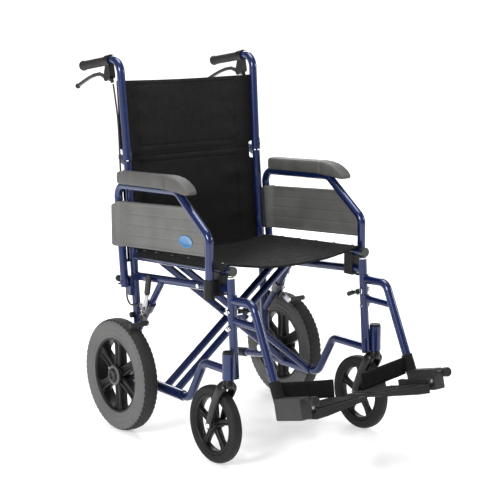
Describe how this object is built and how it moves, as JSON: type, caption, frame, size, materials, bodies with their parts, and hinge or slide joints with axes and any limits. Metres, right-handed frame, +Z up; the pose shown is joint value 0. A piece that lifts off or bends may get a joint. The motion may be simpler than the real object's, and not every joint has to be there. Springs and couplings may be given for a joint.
{
  "type": "transport wheelchair",
  "caption": "Folding transport wheelchair with blue tubular frame, black sling seat, flip-back armrests and swing-away footrests.",
  "frame": {"origin": "centre of the bounding box in plan, at floor level under the wheels", "axes": "+Z up, -Y forwards (the way the chair faces), +X towards the chair's left side"},
  "size_m": [0.612, 1.0506, 1.0051],
  "materials": {
    "blue_paint": "gloss",
    "black_paint": "satin",
    "chrome": "gloss",
    "bright_steel": "satin",
    "black_plastic": "satin",
    "side_plastic": "satin",
    "grey_plastic": "matte",
    "plate_plastic": "matte",
    "black_rubber": "matte",
    "pad_skin": "satin",
    "grey_tyre": "matte",
    "grey_cable": "satin",
    "black_webbing": "matte",
    "black_nylon": "matte"
  },
  "bodies": {
    "frame_right": {"side_frame_right": "blue_paint", "front_socket_right": "black_plastic", "frame_hardware_right": "chrome", "frame_trim_right": "black_plastic", "brake_bracket_right": "bright_steel", "brake_cable_right": "grey_cable", "backrest_lower": "black_nylon"},
    "frame_left": {"side_frame_left": "blue_paint", "front_socket_left": "black_plastic", "frame_hardware_left": "chrome", "frame_trim_left": "black_plastic", "brake_bracket_left": "bright_steel", "brake_cable_left": "grey_cable"},
    "brace_a": {"brace_a": "blue_paint", "cross_pivot": "chrome", "seat_sling": "black_nylon"},
    "brace_b": {"brace_b": "blue_paint"},
    "upper_back_right": {"back_tube_right": "blue_paint", "back_hinge_right": "chrome", "hand_grip_right": "black_rubber", "lever_clamp_right": "black_plastic", "backrest_upper": "black_nylon"},
    "hand_lever_right": {"hand_lever_right": "black_paint"},
    "armrest_right": {"arm_frame_right": "blue_paint", "arm_pad_right": "pad_skin", "side_panel_right": "side_plastic"},
    "hanger_right": {"hanger_right": "blue_paint", "footplate_pin_right": "chrome", "foot_bracket_right": "grey_plastic", "heel_strap_right": "black_webbing"},
    "latch_right": {"latch_lever_right": "black_plastic"},
    "footplate_right": {"footplate_right": "plate_plastic"},
    "caster_fork_right": {"caster_fork_right": "black_paint"},
    "caster_wheel_right": {"caster_rim_right": "black_plastic", "caster_tyre_right": "grey_tyre"},
    "rear_wheel_right": {"wheel_rim_right": "black_plastic", "wheel_tyre_right": "grey_tyre"},
    "parking_lever_right": {"parking_lever_right": "bright_steel"},
    "parking_shoe_right": {"parking_shoe_right": "bright_steel"},
    "upper_back_left": {"back_tube_left": "blue_paint", "back_hinge_left": "chrome", "hand_grip_left": "black_rubber", "lever_clamp_left": "black_plastic"},
    "hand_lever_left": {"hand_lever_left": "black_paint"},
    "armrest_left": {"arm_frame_left": "blue_paint", "arm_pad_left": "pad_skin", "side_panel_left": "side_plastic"},
    "hanger_left": {"hanger_left": "blue_paint", "footplate_pin_left": "chrome", "foot_bracket_left": "grey_plastic", "heel_strap_left": "black_webbing"},
    "latch_left": {"latch_lever_left": "black_plastic"},
    "footplate_left": {"footplate_left": "plate_plastic"},
    "caster_fork_left": {"caster_fork_left": "black_paint"},
    "caster_wheel_left": {"caster_rim_left": "black_plastic", "caster_tyre_left": "grey_tyre"},
    "rear_wheel_left": {"wheel_rim_left": "black_plastic", "wheel_tyre_left": "grey_tyre"},
    "parking_lever_left": {"parking_lever_left": "bright_steel"},
    "parking_shoe_left": {"parking_shoe_left": "bright_steel"}
  },
  "joints": [
    {"name": "fold", "type": "hinge", "parent": "frame_right", "child": "brace_a", "pos_m": [-0.217, 0.08182, 0.128], "axis": [0, -1, 0], "range_deg": [0, 35], "deforming": ["seat_sling", "backrest_upper", "backrest_lower"]},
    {"name": "fold_cross", "type": "hinge", "parent": "brace_a", "child": "brace_b", "pos_m": [0, 0.08182, 0.3025], "axis": [0, 1, 0], "range_deg": [0, 70]},
    {"name": "fold_left", "type": "hinge", "parent": "brace_b", "child": "frame_left", "pos_m": [0.217, 0.08182, 0.128], "axis": [0, -1, 0], "range_deg": [0, 35]},
    {"name": "back_fold_right", "type": "hinge", "parent": "frame_right", "child": "upper_back_right", "pos_m": [-0.217, 0.29782, 0.728], "axis": [-1, 0, 0], "range_deg": [0, 120], "deforming": ["brake_cable_right"]},
    {"name": "hand_lever_right", "type": "hinge", "parent": "upper_back_right", "child": "hand_lever_right", "pos_m": [-0.222, 0.35682, 0.942], "axis": [1, 0, 0], "range_deg": [0, 10], "stiffness_Nm_per_rad": 0.5},
    {"name": "arm_flip_right", "type": "hinge", "parent": "frame_right", "child": "armrest_right", "pos_m": [-0.25, 0.24632, 0.4], "axis": [-1, 0, 0], "range_deg": [0, 90]},
    {"name": "hanger_swing_right", "type": "hinge", "parent": "frame_right", "child": "hanger_right", "pos_m": [-0.217, -0.19679, 0.4], "axis": [0, -0.0718, -0.9974], "range_deg": [0, 95]},
    {"name": "latch_right", "type": "hinge", "parent": "frame_right", "child": "latch_right", "pos_m": [-0.196, -0.19737, 0.392], "axis": [0, 0, -1], "range_deg": [0, 25]},
    {"name": "footplate_flip_right", "type": "hinge", "parent": "hanger_right", "child": "footplate_right", "pos_m": [-0.193, -0.39566, 0.18806], "axis": [0, -0.9703, 0.2419], "range_deg": [0, 90], "deforming": ["heel_strap_right"]},
    {"name": "caster_swivel_right", "type": "hinge", "parent": "frame_right", "child": "caster_fork_right", "pos_m": [-0.243, -0.21618, 0.25], "axis": [0, 0, 1], "continuous": true},
    {"name": "caster_spin_right", "type": "hinge", "parent": "caster_fork_right", "child": "caster_wheel_right", "pos_m": [-0.243, -0.16078, 0.1], "axis": [1, 0, 0], "continuous": true},
    {"name": "wheel_spin_right", "type": "hinge", "parent": "frame_right", "child": "rear_wheel_right", "pos_m": [-0.28, 0.22382, 0.1525], "axis": [1, 0, 0], "continuous": true},
    {"name": "parking_lever_right", "type": "hinge", "parent": "frame_right", "child": "parking_lever_right", "pos_m": [-0.235, 0.17382, 0.336], "axis": [1, 0, 0], "range_deg": [0, 35]},
    {"name": "parking_shoe_right", "type": "hinge", "parent": "frame_right", "child": "parking_shoe_right", "pos_m": [-0.24, 0.17782, 0.314], "axis": [1, 0, 0], "range_deg": [0, 11]},
    {"name": "back_fold_left", "type": "hinge", "parent": "frame_left", "child": "upper_back_left", "pos_m": [0.217, 0.29782, 0.728], "axis": [-1, 0, 0], "range_deg": [0, 120], "deforming": ["brake_cable_left"]},
    {"name": "hand_lever_left", "type": "hinge", "parent": "upper_back_left", "child": "hand_lever_left", "pos_m": [0.222, 0.35682, 0.942], "axis": [1, 0, 0], "range_deg": [0, 10], "stiffness_Nm_per_rad": 0.5},
    {"name": "arm_flip_left", "type": "hinge", "parent": "frame_left", "child": "armrest_left", "pos_m": [0.25, 0.24632, 0.4], "axis": [-1, 0, 0], "range_deg": [0, 90]},
    {"name": "hanger_swing_left", "type": "hinge", "parent": "frame_left", "child": "hanger_left", "pos_m": [0.217, -0.19679, 0.4], "axis": [0, 0.0718, 0.9974], "range_deg": [0, 95]},
    {"name": "latch_left", "type": "hinge", "parent": "frame_left", "child": "latch_left", "pos_m": [0.196, -0.19737, 0.392], "axis": [0, 0, 1], "range_deg": [0, 25]},
    {"name": "footplate_flip_left", "type": "hinge", "parent": "hanger_left", "child": "footplate_left", "pos_m": [0.193, -0.39566, 0.18806], "axis": [0, 0.9703, -0.2419], "range_deg": [0, 90], "deforming": ["heel_strap_left"]},
    {"name": "caster_swivel_left", "type": "hinge", "parent": "frame_left", "child": "caster_fork_left", "pos_m": [0.243, -0.21618, 0.25], "axis": [0, 0, 1], "continuous": true},
    {"name": "caster_spin_left", "type": "hinge", "parent": "caster_fork_left", "child": "caster_wheel_left", "pos_m": [0.243, -0.16078, 0.1], "axis": [1, 0, 0], "continuous": true},
    {"name": "wheel_spin_left", "type": "hinge", "parent": "frame_left", "child": "rear_wheel_left", "pos_m": [0.28, 0.22382, 0.1525], "axis": [1, 0, 0], "continuous": true},
    {"name": "parking_lever_left", "type": "hinge", "parent": "frame_left", "child": "parking_lever_left", "pos_m": [0.235, 0.17382, 0.336], "axis": [1, 0, 0], "range_deg": [0, 35]},
    {"name": "parking_shoe_left", "type": "hinge", "parent": "frame_left", "child": "parking_shoe_left", "pos_m": [0.24, 0.17782, 0.314], "axis": [1, 0, 0], "range_deg": [0, 11]}
  ],
  "couplings": [
    {"joint": "fold_cross", "follows": "fold", "ratio": 2},
    {"joint": "fold_left", "follows": "fold", "ratio": 1},
    {"joint": "back_fold_left", "follows": "back_fold_right", "ratio": 1},
    {"joint": "footplate_flip_right", "follows": "fold", "ratio": 2.5714},
    {"joint": "parking_shoe_right", "follows": "parking_lever_right", "ratio": 0.3142},
    {"joint": "footplate_flip_left", "follows": "fold", "ratio": 2.5714},
    {"joint": "parking_shoe_left", "follows": "parking_lever_left", "ratio": 0.3142}
  ]
}
